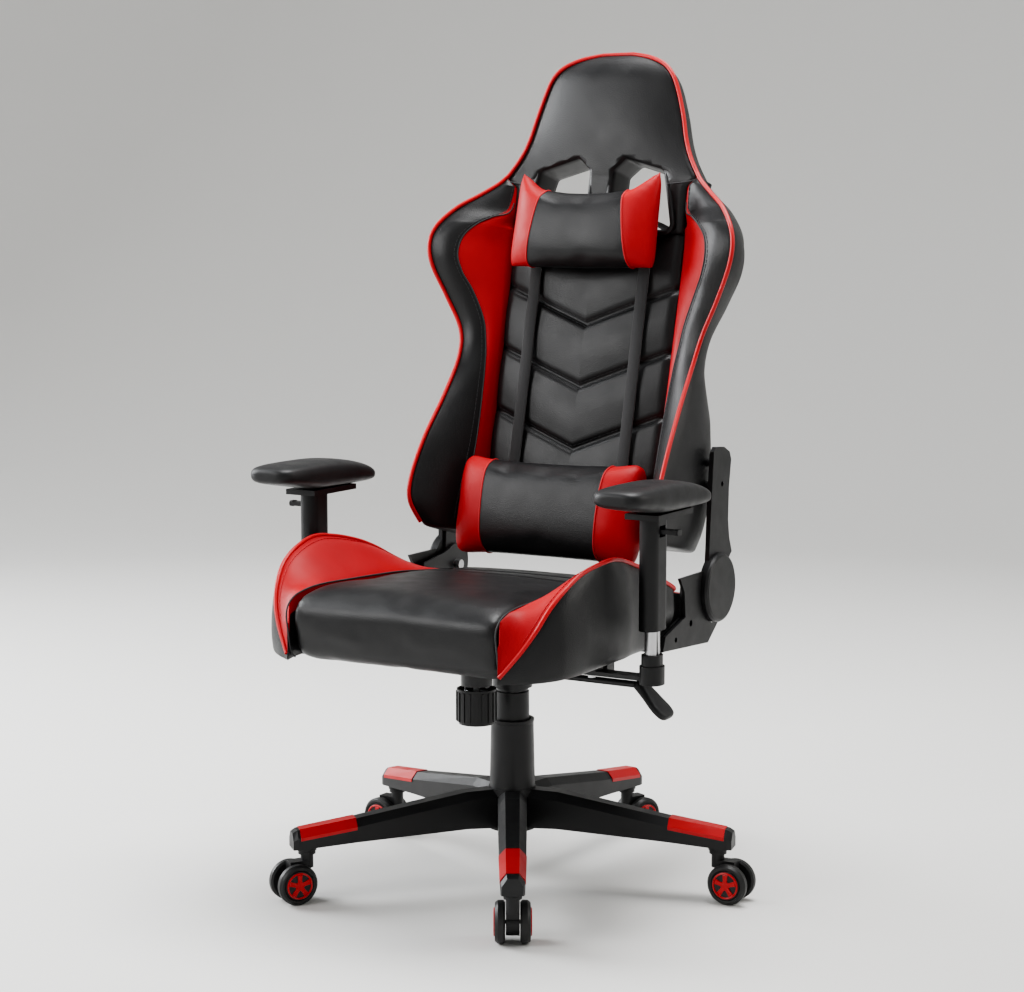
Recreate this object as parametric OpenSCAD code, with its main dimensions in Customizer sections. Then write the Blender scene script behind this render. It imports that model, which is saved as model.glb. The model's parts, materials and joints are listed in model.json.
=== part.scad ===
// Gaming chair: five-arm base on twin-wheel casters, gas lift, tilting seat,
// reclining bucket back, height-adjustable armrests and two strapped pillows.
// Origin on the floor under the gas lift. The sitter faces -Y, +X is the sitter's left.

/* [Base] */
// Radius of the circle through the caster stems
stem_circle = 318; // [290:1:340]
// Height of the top of the arms at the hub
hub_top = 147; // [140:1:150]
// Angle of the first arm from +X
first_arm = -60; // [-90:1:90]
// Radius of a caster wheel
wheel_r = 30; // [25:1:30]
// How far a wheel trails behind its stem
trail = 22; // [16:1:24]
// Half width over both wheels of a caster
wheel_out = 25.5; // [24:0.5:27]
// Radius of a caster stem
stem_r = 5.44; // [5:0.01:5.45]

/* [Gas lift] */
// Outer radius of the standing tube
tube_r = 23.9; // [22:0.1:23.9]
// Radius of the gas spring's cylinder
cylinder_r = 14; // [12:0.5:15]
// Top of the lower cover above the floor
lower_cover_top = 251; // [245:1:255]
// Top of the upper cover above the floor
upper_cover_top = 293; // [288:1:294]

/* [Seat] */
// Height of the underside of the seat foam
seat_z = 380; // [379:1:384]
// Half width of the flat middle of the seat
cushion_half = 170; // [165:1:172]
// Half width of the seat at its widest
seat_half = 249; // [244:1:249]
// Distance of each armrest post from the middle
post_x = 285; // [283:1:295]
// Distance of the armrest posts in front of the lift
post_y = -105; // [-115:1:-95]
// Top of the armrest pads
pad_top = 638; // [630:1:650]

/* [Back] */
// Lean of the back at rest, in degrees from upright
lean = 13.2; // [10:0.1:16]
// Height of the recline pivot
pivot_z = 440; // [438:1:442]
// Distance of the recline pivot behind the lift
pivot_y = 207; // [205:1:209]
// Half width of the flat quilted panel
panel_half = 150; // [148:1:151]
// Length from the panel's reference line to the crown of the head
head_top = 612; // [600:1:620]

/* [Hidden] */
arm_count = 5;
arm_step = 360 / arm_count;
casters = [for (i = [1:arm_count]) i];
trail_angles = [120, 2, 65, 175, 238];   // where each caster trails, from +X
clear = 0.3;                             // gap between curved faces that move
run = 0.06;                              // radial clearance of a shaft in its hole
skin = 0.2;                              // gap between neighbouring foam pieces
black = "#1a1a1c";
leather = "#222224";
red = "#c4161c";
steel = "#b9bcc0";
dark_steel = "#4a4c50";

// the star
arm_bottom = 84;
boss_bottom = 76;
socket_top = 100.5;
hub_r = 36;
arm_tip = 341;
inlay_from = 246;
inlay_to = 330;
inlay_t = 1;
// distance from the lift, half width, underside, top
arm_sections = [
    [31.5, 22, 89, 146],
    [75, 21.5, 91, 145],
    [245, 19, 85, 119],
    [334, 17, 80, 108],
    [arm_tip, 15, 80, 104]
];

// the gas lift
tube_bottom = 84;
tube_top = 245;
tube_wall = 2.9;
rod_r = 4.1;
piston_r = cylinder_r - 3.1;
cylinder_bottom = 130;
cylinder_top = 340;
bush_bottom = 205;
valve_r = 3;
valve_top = 347;
cam_gap = 0.4;
lift_cover_r = tube_r + clear;

// the tilt mechanism
plate_z = 351;
plate_t = 4;
housing_bottom = 304;
housing_floor = 326;
housing_w = 104;
tilt_y = 15;
tilt_z = 336;
tilt_pin_r = 6;
ear_x = 56;
ear_t = 5;
knob_y = -105;
knob_bottom = 264;
knob_top = 316;
knob_r = 29;
knob_cup_r = 25.5;
boss_r = 23;
boss_low = 321;
tongue_z = 338;
tongue_t = 7;
bolt_r = 5;
spring_r = 17;
spring_wire = 2.2;
spring_turns = 5;
spring_low = 275;

// the height and tilt-lock lever
lever_y = -30;
lever_z = 331;
lever_pivot_x = 60;
lever_rod_r = 5;
lever_end_x = 236;

// the seat frame
rail_y = [-75, 95];
frame_x = 205;
frame_z = 391;
frame_r = 10;
webbing_y = [-275, -225, -175, -55, -5, 45];

// the armrests
tube_half_y = 13;
tube_half_x = 9;
sleeve_half_y = 24.5;
sleeve_half_x = 14.5;
sleeve_bottom = 429;
sleeve_top = 586;
arm_tube_top = 545;
boot_bottom = 352;
boot_top = 394;
bar_z = 357;
bar_t = 6;
latch_z = 568;

// the recline hinge
plate_x = 224.5;
plate_w = 4;
arm_x = 229.5;
arm_w = 4;
cover_x = 233.6;
cover_w = 4.5;
disc_r = 53;
disc_w = 15.5;
pin_r = 8;
release_pin = [120, 398];
release_r = 3.9;

// outlines of the hinge parts in the side view, distance behind the lift and height
lower_plate = [
    [30, 372], [180, 362], [214, 386], [236, 420], [238, 450], [207, 474], [170, 463],
    [110, 455], [104, 408], [36, 389]
];
lower_cover = [
    [26, 370], [181, 359], [215, 384], [207, 440], [170, 470], [82, 470], [97, 448],
    [101, 410], [34, 391]
];
upper_arm = [
    [180, 440], [234, 440], [246, 486], [238, 539], [247, 630], [226, 645], [198, 645],
    [190, 576], [186, 500]
];
upper_cover = [
    [178, 498], [178, 478], [244, 476], [260, 489], [250, 512], [245, 540], [247, 590], [254, 632], [248, 644],
    [228, 653], [198, 655], [191, 648], [184, 576]
];

// the back, in its own frame: x across, y depth behind the panel, z up the panel
back_y = 196;
back_z = 659;
panel_bottom = -150;
panel_top = 322;
neck = 406;
back_depth = 48;
strap_x = 95;
strap_w = 20;
strap_t = 1.6;
strap_d = -13.5;
pillow_gap = 16;
tube_x = 162;
frame_d = 24;

// where the piping of the back runs on one side: half width, depth, height
back_rim = [
    [200, -100, -158], [209, -124, -128], [213, -122, -90], [211, -100, -25], [206, -66, 45],
    [205, -36, 112], [212, -29, 160], [236, -43, 210], [258, -62, 256], [264, -69, 290],
    [256, -66, 320], [232, -50, 353], [204, -32, 377], [180, -18, 398], [169, -14, 407.8]
];
// rear edge of the wings: depth, height
wing_rear = [
    [50, -158], [50, -90], [46, 0], [36, 60], [22, 125], [12, 207], [2, 256], [-10, 300],
    [4, 345], [24, 411]
];
// outline of the head: half width, depth of the piping, height
head_rim = [
    [170, -12, 408], [150, -8, 441], [138, -6, 471], [128, -6, 510], [116, -8, 548],
    [105, -10, 572], [88, -8, 590], [60, -4, 603], [26, 2, 611]
];
// one harness hole: half width and height of its corners
hole = [[30, 336], [119, 336], [100, 414], [44, 431], [30, 418]];

// where the piping of the seat runs on one side
seat_rim = [
    [171, -337, 388], [180, -331, 400], [197, -320, 424], [212, -306, 451], [222, -288, 478],
    [231, -260, 502], [237, -220, 520], [244, -165, 529], [239, -120, 525], [231, -70, 513],
    [231, -20, 496], [233, 30, 475], [232, 72, 457], [222, 84, 449], [221, 148, 436]
];
// side view of the flat middle of the seat
cushion_side = [
    [-322, 381], [-333, 394], [-339, 424], [-342, 450], [-331, 467], [-306, 476], [-257, 480],
    [-180, 477], [-100, 473], [-40, 469], [40, 460], [125, 451], [150, 441], [155, 425],
    [153, 392], [146, 381]
];

// ---- curves and lofts ----

// point of a smooth curve between b and c, with a and d beyond them
function curve_point(a, b, c, d, t) =
    0.5 * (2 * b + t * (c - a) + t * t * (2 * a - 5 * b + 4 * c - d)
    + t * t * t * (3 * b - a - 3 * c + d));

// n steps between neighbouring points of a list
function smooth(p, n) = [
    for (i = [0:len(p) - 2], k = [0:n - 1])
        curve_point(p[max(i - 1, 0)], p[i], p[i + 1], p[min(i + 2, len(p) - 1)], k / n),
    p[len(p) - 1]
];

function mix(a, b, t) = a + (b - a) * t;

function reversed(list) = [for (i = [len(list) - 1:-1:0]) list[i]];

// closed solid through rings that all have the same number of points, wound either way
module loft(rings) {
    n = len(rings[0]);
    m = len(rings);
    points = [for (r = rings) each r];
    sides = [
        for (j = [0:m - 2], i = [0:n - 1], half = [0, 1])
            half == 0
                ? [j * n + i, j * n + (i + 1) % n, (j + 1) * n + i]
                : [j * n + (i + 1) % n, (j + 1) * n + (i + 1) % n, (j + 1) * n + i]
    ];
    near = [for (i = [0:n - 1]) n - 1 - i];
    far = [for (i = [0:n - 1]) (m - 1) * n + i];
    faces = concat([near], sides, [far]);
    middle = [for (p = points) 1] * points / len(points);
    swept = [
        for (f = faces, k = [1:len(f) - 2])
            (points[f[0]] - middle) * cross(points[f[k]] - middle, points[f[k + 1]] - middle)
    ];
    outward = [for (v = swept) 1] * swept > 0;
    polyhedron(points = points, faces = outward ? [for (f = faces) reversed(f)] : faces);
}

// both sides of the chair
module pair() {
    children();
    mirror([1, 0, 0]) children();
}

// from the back's own frame to the chair's
module on_back() {
    translate([0, back_y, back_z]) rotate([-lean, 0, 0]) children();
}

// round-ended bar outline
module stadium(half_x, half_y) {
    square([2 * half_x, 2 * (half_y - half_x)], center = true);
    for (s = [-1, 1]) translate([0, s * (half_y - half_x)]) circle(half_x, $fn = 40);
}

// a plate lying in the side view (y, z), from x0 outwards
module side_plate(x0, t, outline) {
    translate([x0, 0, 0]) rotate([90, 0, 90]) linear_extrude(t) polygon(outline);
}

// a cylinder along +X
module rod_x(r, x0, x1, y, z) {
    translate([x0, y, z]) rotate([0, 90, 0]) cylinder(r = r, h = x1 - x0, $fn = 48);
}

// ---- base ----

module at_arm(i) {
    rotate(first_arm + arm_step * (i - 1)) children();
}

function arm_ring(s) = [
    [s[0], -s[1], s[2]], [s[0], s[1], s[2]], [s[0], s[1], s[3] - 11],
    [s[0], 0.5 * s[1], s[3]], [s[0], -0.5 * s[1], s[3]], [s[0], -s[1], s[3] - 11]
];

module base_star() {
    color(black) difference() {
        union() {
            for (i = casters) at_arm(i) {
                loft([for (s = arm_sections) arm_ring(s)]);
                translate([stem_circle, 0, boss_bottom]) cylinder(r = 14.5, h = 16, $fn = 48);
            }
            translate([0, 0, arm_bottom]) cylinder(r = hub_r, h = hub_top - arm_bottom, $fn = 64);
        }
        translate([0, 0, arm_bottom - 1]) cylinder(r = tube_r + 0.1, h = hub_top, $fn = 64);
        for (i = casters) at_arm(i) translate([stem_circle, 0, boss_bottom - 1])
            cylinder(r = stem_r + run, h = socket_top - boss_bottom + 1, $fn = 40);
    }
}

// half width, underside and top of an arm at distance r
function arm_at(r) =
    let (a = arm_sections[2], b = arm_sections[3], t = (r - a[0]) / (b[0] - a[0]))
    [r, mix(a[1], b[1], t), mix(a[2], b[2], t), mix(a[3], b[3], t)];

// the arm's own section there, thicker by t all round and cut off low down
function inlay_ring(r, t, low) =
    let (s = arm_at(r))
    arm_ring([r, s[1] + t, s[3] - low, s[3] + t]);

module arm_inlays() {
    color(red) for (i = casters) at_arm(i) difference() {
        loft([for (r = [inlay_from, inlay_to]) inlay_ring(r, inlay_t, 15)]);
        loft([for (r = [inlay_from - 5, inlay_to + 5]) inlay_ring(r, skin / 10, 25)]);
    }
}

module cover_lower() {
    color(black) rotate_extrude($fn = 72) polygon([
        [29.2, hub_top], [34.5, hub_top], [33.8, 170], [32.2, lower_cover_top - 6],
        [33, lower_cover_top - 3], [33, lower_cover_top], [28.5, lower_cover_top],
        [28.5, lower_cover_top - 4]
    ]);
}

module gas_outer_tube() {
    color(dark_steel) rotate_extrude($fn = 64) polygon([
        [rod_r + run, tube_bottom], [tube_r - 2, tube_bottom], [tube_r, tube_bottom + 6],
        [tube_r, tube_top], [tube_r - tube_wall, tube_top],
        [tube_r - tube_wall, tube_bottom + 5], [rod_r + run, tube_bottom + 5]
    ]);
}

module thrust_bearing() {
    color(steel) rotate_extrude($fn = 48) polygon([
        [rod_r + run, tube_bottom + 5.1], [16, tube_bottom + 5.1], [16, tube_bottom + 12],
        [rod_r + run, tube_bottom + 12]
    ]);
}

module lift_bush() {
    color("white") rotate_extrude($fn = 64) polygon([
        [cylinder_r + run, bush_bottom], [tube_r - tube_wall - 0.02, bush_bottom],
        [tube_r - tube_wall - 0.02, tube_top], [tube_r, tube_top + 0.1],
        [tube_r, tube_top + 3], [cylinder_r + run, tube_top + 3]
    ]);
}

// ---- casters, drawn with the stem on the Z axis and the wheel trailing along +X ----

module at_caster(i) {
    at_arm(i) translate([stem_circle, 0, 0])
        rotate(trail_angles[i - 1] - first_arm - arm_step * (i - 1)) children();
}

module caster_fork(i) {
    color(black) at_caster(i) {
        translate([0, 0, 62]) cylinder(r = stem_r, h = socket_top - 64, $fn = 40);
        translate([0, 0, 50]) cylinder(r = 9.5, h = 25, $fn = 40);
        translate([0, 0, 70.5]) cylinder(r = 13, h = 4.5, $fn = 40);
        translate([trail, 9.5, wheel_r]) rotate([90, 0, 0]) cylinder(r = 19, h = 19, $fn = 48);
        translate([0, -9.5, 40]) cube([trail + 8, 19, 22]);
        translate([trail, 20, wheel_r]) rotate([90, 0, 0]) cylinder(r = 3, h = 40, $fn = 32);
    }
}

module wheel_half() {
    rotate_extrude($fn = 64) polygon([
        [3 + run, 10.5], [wheel_r - 3, 10.5], [wheel_r, 13], [wheel_r, wheel_out - 5],
        [wheel_r - 3, wheel_out - 1], [wheel_r - 5, wheel_out - 0.5], [23, wheel_out - 1],
        [22, wheel_out - 2], [21, wheel_out - 0.4], [0, wheel_out - 0.4], [0, 21], [3 + run, 21]
    ]);
}

module caster_wheels(i) {
    color(black) at_caster(i) translate([trail, 0, wheel_r]) {
        rotate([-90, 0, 0]) wheel_half();
        rotate([90, 0, 0]) wheel_half();
    }
}

// ---- gas spring ----

module gas_piston_rod() {
    color(steel) {
        translate([0, 0, tube_bottom - 4]) cylinder(r = rod_r, h = 205, $fn = 40);
        translate([0, 0, 280]) cylinder(r = piston_r, h = 10, $fn = 48);
        translate([0, 0, tube_bottom + 12.1]) cylinder(r = 10, h = 3, $fn = 40);
    }
}

module gas_cylinder() {
    color(steel) rotate_extrude($fn = 64) polygon([
        [rod_r + run, cylinder_bottom], [cylinder_r - 1, cylinder_bottom],
        [cylinder_r, cylinder_bottom + 1], [cylinder_r, cylinder_top],
        [valve_r + run, cylinder_top], [valve_r + run, cylinder_top - 12],
        [cylinder_r - 3, cylinder_top - 12], [cylinder_r - 3, cylinder_bottom + 14],
        [rod_r + run, cylinder_bottom + 14]
    ]);
}

module cover_top() {
    color(black) rotate_extrude($fn = 64) polygon([
        [lift_cover_r, 182], [27.4, 182], [27.4, 188], [26, 189], [25.4, upper_cover_top],
        [cylinder_r + 0.1, upper_cover_top], [cylinder_r + 0.1, upper_cover_top - 3],
        [lift_cover_r, upper_cover_top - 3]
    ]);
}

module valve_pin() {
    color(steel) translate([0, 0, cylinder_top - 8])
        cylinder(r = valve_r, h = valve_top - cylinder_top + 8, $fn = 32);
}

// ---- tilt mechanism ----

module chassis_housing() {
    half = housing_w / 2;
    top = 344.5;
    color(dark_steel) difference() {
        union() {
            translate([-half, -60, housing_floor - 4]) cube([housing_w, 96, 4]);
            for (s = [-1, 1]) translate([s * (half - 1.5) - 1.5, -60, housing_floor - 0.5])
                cube([3, 96, top - housing_floor + 0.5]);
            translate([-half, -60, housing_floor - 0.5]) cube([housing_w, 3, top - housing_floor]);
            translate([0, 0, housing_bottom]) cylinder(r = 20, h = 34, $fn = 64);
            translate([0, 0, housing_bottom - 9]) cylinder(r = 24, h = 7, $fn = 64);
            translate([0, 0, housing_bottom - 4]) cylinder(r = 30, h = 21, $fn = 64);
            translate([-22, knob_y, tongue_z]) cube([44, 46, tongue_t - 1]);
            translate([0, knob_y, boss_low])
                cylinder(r = boss_r, h = tongue_z + tongue_t - boss_low, $fn = 56);
            for (y = [lever_y - 15.5, lever_y + 11.5])
                translate([half - 1, y, lever_z - 8]) cube([14, 4, 16]);
        }
        translate([0, 0, housing_bottom - 20])
            cylinder(r = cylinder_r + 0.05, h = 80, $fn = 64);
        translate([0, knob_y, boss_low - 5]) cylinder(r = bolt_r + 0.5, h = 40, $fn = 40);
        rod_x(tilt_pin_r + 0.02, -60, 60, tilt_y, tilt_z);
        translate([lever_pivot_x - 14, lever_y - 11, lever_z - 14]) cube([22, 22, 40]);
        translate([lever_pivot_x, lever_y - 20, lever_z]) rotate([-90, 0, 0])
            cylinder(r = 3 + run, h = 40, $fn = 32);
    }
}

module tilt_pin() {
    color(steel) difference() {
        rod_x(tilt_pin_r, -66, 66, tilt_y, tilt_z);
        translate([0, 0, 300]) cylinder(r = 23, h = 60, $fn = 48);
    }
}

// helix swept with an eight-sided wire
function coil(a) =
    let (
        rise = boss_low - spring_low - 2 * spring_wire - 0.6,
        z = spring_low + spring_wire + 0.3 + rise * a / (360 * spring_turns)
    )
    [
        for (k = [0:7])
            let (r = spring_r + spring_wire * cos(45 * k))
            [r * cos(a), r * sin(a), z + spring_wire * sin(45 * k)]
    ];

module tilt_spring() {
    color(steel) translate([0, knob_y, 0]) mirror([0, 1, 0])
        loft([for (a = [0:20:360 * spring_turns]) coil(a)]);
}

module tension_bolt() {
    color(steel) translate([0, knob_y, knob_bottom + 4]) {
        cylinder(r = bolt_r, h = 94, $fn = 40);
        translate([0, 0, 90.5]) cylinder(r = 15, h = 4.5, $fn = 48);
    }
}

module tension_knob() {
    color(black) translate([0, knob_y, 0]) difference() {
        union() {
            translate([0, 0, knob_bottom + 4])
                cylinder(r = knob_r, h = knob_top - knob_bottom - 4, $fn = 64);
            translate([0, 0, knob_bottom]) cylinder(r = knob_r - 3, h = 6, $fn = 64);
            for (a = [0:20:340]) rotate(a) translate([knob_r - 1, -2, knob_bottom + 5])
                cube([2.4, 4, knob_top - knob_bottom - 9]);
        }
        translate([0, 0, spring_low]) cylinder(r = knob_cup_r, h = 60, $fn = 64);
        translate([0, 0, knob_bottom - 1]) cylinder(r = bolt_r + run, h = 60, $fn = 40);
    }
}

module lever_cam() {
    color(dark_steel) difference() {
        union() {
            rod_x(9, lever_pivot_x - 12, lever_pivot_x + 14, lever_y, lever_z);
            translate([-5, lever_y - 6, valve_top + cam_gap])
                cube([lever_pivot_x - 1, 38, 2.2]);
            translate([lever_pivot_x - 12, lever_y - 6, lever_z + 4]) cube([6, 12, 14.4]);
            translate([lever_pivot_x, lever_y - 15.5, lever_z]) rotate([-90, 0, 0])
                cylinder(r = 3, h = 31, $fn = 32);
        }
        rod_x(lever_rod_r + run, lever_pivot_x - 13, lever_pivot_x + 20, lever_y, lever_z);
    }
}

module lever_rod() {
    color(dark_steel) rod_x(lever_rod_r, lever_pivot_x - 14, lever_end_x, lever_y, lever_z);
}

module lever_paddle() {
    color(black) translate([0, lever_y, 0]) difference() {
        hull() {
            for (s = [-1, 1]) {
                translate([228, s * 5, lever_z]) sphere(r = 8, $fn = 24);
                translate([262, s * 16, 300]) sphere(r = 8, $fn = 24);
                translate([270, s * 12, 293]) sphere(r = 7, $fn = 24);
            }
        }
        translate([lever_end_x - 20, 0, lever_z]) rotate([0, 90, 0])
            cylinder(r = lever_rod_r + 0.02, h = 20, $fn = 40);
    }
}

// ---- seat ----

module seat_plate() {
    color(dark_steel) difference() {
        union() {
            translate([-100, -125, plate_z]) cube([200, 245, plate_t]);
            for (s = [-1, 1]) {
                translate([s * (ear_x + ear_t / 2) - ear_t / 2, tilt_y - 14, tilt_z])
                    cube([ear_t, 28, plate_z - tilt_z + 1]);
                rod_x(14, s * (ear_x + ear_t / 2) - ear_t / 2, s * (ear_x + ear_t / 2) + ear_t / 2,
                    tilt_y, tilt_z);
            }
        }
        rod_x(tilt_pin_r + run, -80, 80, tilt_y, tilt_z);
        translate([-34, -45, plate_z - 1]) cube([68, 80, plate_t + 2]);
        translate([0, knob_y, plate_z - 1]) cylinder(r = 12, h = plate_t + 2, $fn = 40);
    }
}

module seat_frame() {
    rail_top = seat_z - 3;
    color(dark_steel) {
        for (y = rail_y) translate([-frame_x, y - 11, plate_z + plate_t])
            cube([2 * frame_x, 22, rail_top - plate_z - plate_t]);
        for (y = [-290, post_y, rail_y[1]]) rod_x(frame_r, -frame_x, frame_x, y, frame_z);
        for (s = [-1, 1]) {
            translate([s * frame_x, -290, frame_z]) rotate([-90, 0, 0])
                cylinder(r = frame_r, h = 430, $fn = 40);
            for (y = rail_y) translate([s * 195 - 10, y - 10, rail_top - 1]) cube([20, 20, 12]);
            translate([s * (frame_x + plate_x) / 2 - (plate_x - frame_x) / 2, 100, 370])
                cube([plate_x - frame_x, 50, 24]);
            translate([s * 166 - 36, post_y - 12, seat_z]) cube([72, 24, 8]);
        }
    }
}

module seat_webbing() {
    color("#2c2c2e") for (y = webbing_y) translate([-196, y, seat_z - 2.4])
        cube([392, 36, 2]);
}

module seat_cushion() {
    color(leather) side_plate(-cushion_half + skin / 2, 2 * cushion_half - skin,
        smooth(cushion_side, 3));
}

// height of the flat middle's edge at distance y
function cushion_top(y) = lookup(y, [for (k = [2:12]) cushion_side[k]]);

function bolster_ring(p) =
    let (
        inner = cushion_half,
        top = max(p[1] < -332 ? 432 : cushion_top(p[1]), seat_z + 20),
        swell = min(1, (p[1] + 337) / 60) * min(1, max(0, (40 - p[1]) / 50)),
        out = min(p[0] + 0.5 + 13 * swell, seat_half),
        tuck = p[1] > 12 ? min(out - 1, plate_x - 4) : out - 1,
        mid = (p[2] + seat_z) / 2
    )
    [
        [inner, p[1], seat_z], [inner, p[1], top],
        [mix(inner, p[0], 0.45), p[1], mix(top, p[2], 0.5) - 3],
        [mix(inner, p[0], 0.85), p[1], mix(top, p[2], 0.9)],
        [p[0], p[1], p[2]],
        [mix(p[0], out, 0.6), p[1], mix(p[2], mid, 0.35)],
        [out, p[1], mid], [tuck, p[1], mix(mid, seat_z, 0.65)],
        [mix(tuck, inner, 0.15), p[1], seat_z]
    ];

module seat_bolster() {
    color(leather) loft([for (p = smooth(seat_rim, 2)) bolster_ring(p)]);
}

module seat_bolster_left() { seat_bolster(); }

module seat_bolster_right() { mirror([1, 0, 0]) seat_bolster(); }

module seat_bolts() {
    color(steel) {
        for (x = [-85, 85], y = rail_y) translate([x, y, plate_z - 5]) {
            cylinder(r = 6.5, h = 4.9, $fn = 6);
        }
        pair() for (x = [150, 190]) translate([x, post_y, bar_z - 5])
            cylinder(r = 6, h = 4.9, $fn = 6);
    }
}

// ---- armrests ----

module arm_bracket() {
    color(steel) difference() {
        union() {
            translate([130, post_y - 12, bar_z]) cube([post_x - 136, 24, bar_t]);
            translate([130, post_y - 12, bar_z]) cube([72, 24, seat_z - bar_z]);
            translate([post_x, post_y, bar_z]) linear_extrude(arm_tube_top - bar_z)
                stadium(tube_half_x, tube_half_y);
        }
        translate([post_x, post_y, bar_z + 12]) linear_extrude(arm_tube_top)
            stadium(tube_half_x - 2, tube_half_y - 2);
        for (k = [0:5]) translate([post_x + tube_half_x - 2.5, post_y - 4, 450 + 15 * k])
            cube([5, 8, 6]);
    }
}

module arm_bracket_left() { arm_bracket(); }

module arm_bracket_right() { mirror([1, 0, 0]) arm_bracket(); }

module arm_boots() {
    color(black) pair() translate([post_x, post_y, 0]) difference() {
        union() {
            translate([0, 0, boot_bottom + 12]) linear_extrude(boot_top - boot_bottom - 12)
                stadium(tube_half_x + 5, tube_half_y + 4);
            translate([0, 0, boot_bottom]) linear_extrude(26)
                stadium(tube_half_x + 8, tube_half_y + 6);
        }
        translate([0, 0, boot_bottom - 1]) linear_extrude(60)
            stadium(tube_half_x + 0.05, tube_half_y + 0.05);
        translate([-60, -13.1, bar_z - 10]) cube([60, 26.2, 10.1 + bar_t]);
    }
}

module arm_sleeve() {
    color(black) difference() {
        union() {
            translate([post_x, post_y, sleeve_bottom]) linear_extrude(sleeve_top - sleeve_bottom)
                stadium(sleeve_half_x, sleeve_half_y);
            translate([post_x - 26, post_y - 36, sleeve_top]) cube([52, 111, 8]);
        }
        translate([post_x, post_y, sleeve_bottom - 1])
            linear_extrude(arm_tube_top + 36 - sleeve_bottom) stadium(tube_half_x + clear, tube_half_y + clear);
        translate([post_x + tube_half_x - 2, post_y - 9, latch_z - 8]) cube([30, 18, 16]);
    }
}

module arm_sleeve_left() { arm_sleeve(); }

module arm_sleeve_right() { mirror([1, 0, 0]) arm_sleeve(); }

pad_low = sleeve_top + 8;

module arm_pad() {
    color(black) intersection() {
        hull() {
            for (s = [-1, 1]) {
                translate([post_x + s * 22, -206, 617]) scale([20, 22, 13])
                    sphere(r = 1, $fn = 28);
                translate([post_x + s * 24, -115, pad_top - 22]) scale([18, 40, 22])
                    sphere(r = 1, $fn = 28);
                translate([post_x + s * 24, -8, 606]) scale([19, 30, 13])
                    sphere(r = 1, $fn = 28);
            }
        }
        translate([post_x - 60, -260, pad_low + 0.02]) cube([120, 320, 80]);
    }
}

module arm_pad_left() { arm_pad(); }

module arm_pad_right() { mirror([1, 0, 0]) arm_pad(); }

module arm_latch() {
    color(black) {
        translate([post_x + tube_half_x + 1, post_y - 8, latch_z - 3]) cube([30, 16, 6]);
        translate([post_x + tube_half_x + 3.2, post_y - 8, latch_z]) rotate([-90, 0, 0])
            cylinder(r = 3, h = 16, $fn = 32);
        rod_x(4.5, post_x + 36, post_x + 41, post_y - 3, latch_z);
        rod_x(4.5, post_x + 36, post_x + 41, post_y + 3, latch_z);
    }
}

module arm_latch_left() { arm_latch(); }

module arm_latch_right() { mirror([1, 0, 0]) arm_latch(); }

// ---- recline hinge ----

module hinge_plates() {
    color(dark_steel) pair() difference() {
        union() {
            side_plate(plate_x, plate_w, lower_plate);
            rod_x(34, plate_x, plate_x + plate_w, pivot_y, pivot_z);
        }
        rod_x(pin_r + 0.02, plate_x - 1, plate_x + 10, pivot_y, pivot_z);
        rod_x(release_r + run, plate_x - 1, plate_x + 10, release_pin[0], release_pin[1]);
    }
}

module hinge_covers() {
    color(black) pair() difference() {
        side_plate(cover_x, cover_w, lower_cover);
        rod_x(disc_r + 1, cover_x - 1, cover_x + 10, pivot_y, pivot_z);
        rod_x(4, cover_x - 1, cover_x + 10, 69, 381);
        rod_x(release_r + 1, cover_x - 1, cover_x + 10, release_pin[0], release_pin[1]);
    }
    color(black) pair() for (y = [50, 150])
        rod_x(5, plate_x + plate_w + 0.05, cover_x - 0.05, y, y == 50 ? 378 : 372);
}

module hinge_pins() {
    color(steel) pair() rod_x(pin_r, plate_x - 10, arm_x + arm_w, pivot_y, pivot_z);
}

module recline_lever() {
    x0 = cover_x + cover_w + 0.5;
    color(black) mirror([1, 0, 0]) {
        rod_x(release_r, plate_x - 1, x0 + 1, release_pin[0], release_pin[1]);
        side_plate(x0, 4, [
            [130, 390], [130, 404], [118, 409], [66, 412], [28, 412], [66, 401], [112, 388]
        ]);
        side_plate(x0, 11, [[25, 399], [60, 399], [63, 414], [27, 414], [21, 406]]);
    }
}

module recline_arms() {
    color(dark_steel) {
        pair() difference() {
            union() {
                side_plate(arm_x, arm_w, upper_arm);
                rod_x(34, arm_x, arm_x + arm_w, pivot_y, pivot_z);
            }
            rod_x(pin_r + run, arm_x - 1, arm_x + 10, pivot_y, pivot_z);
        }
        on_back() pair() for (z = [-60, -25]) rod_x(6, tube_x + 10, arm_x + 1, frame_d, z);
    }
}

module recline_covers() {
    color(black) pair() {
        difference() {
            side_plate(cover_x, cover_w + 2, upper_cover);
            rod_x(4, cover_x - 1, cover_x + 10, 222, 597);
        }
        translate([cover_x, pivot_y, pivot_z]) rotate([0, 90, 0]) rotate_extrude($fn = 72)
            polygon([
                [0, 0], [disc_r, 0], [disc_r, disc_w - 5], [disc_r - 2, disc_w - 1.5],
                [disc_r - 5, disc_w], [0, disc_w]
            ]);
    }
}

// ---- back ----

function bag_ring(z, half, front, rear, crown, corner) = [
    [-half, front + corner, z], [-half, rear, z], [half, rear, z], [half, front + corner, z],
    [0.6 * half, front - 0.7 * crown, z], [0, front - crown, z],
    [-0.6 * half, front - 0.7 * crown, z]
];

module back_center() {
    half = panel_half - skin / 2;
    color(leather) on_back() loft([
        bag_ring(panel_bottom, half, 10, 38, 2, 0),
        bag_ring(panel_bottom + 14, half, 1, back_depth, 4, 0),
        bag_ring(-60, half, 0, back_depth, 6, 0),
        bag_ring(60, half, 0, back_depth, 6, 0),
        bag_ring(190, half, 3, back_depth, 10, 0),
        bag_ring(panel_top - 8, half, -3, back_depth, 4, 0),
        bag_ring(panel_top, half, 0, back_depth - 4, 2, 0)
    ]);
}

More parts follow.
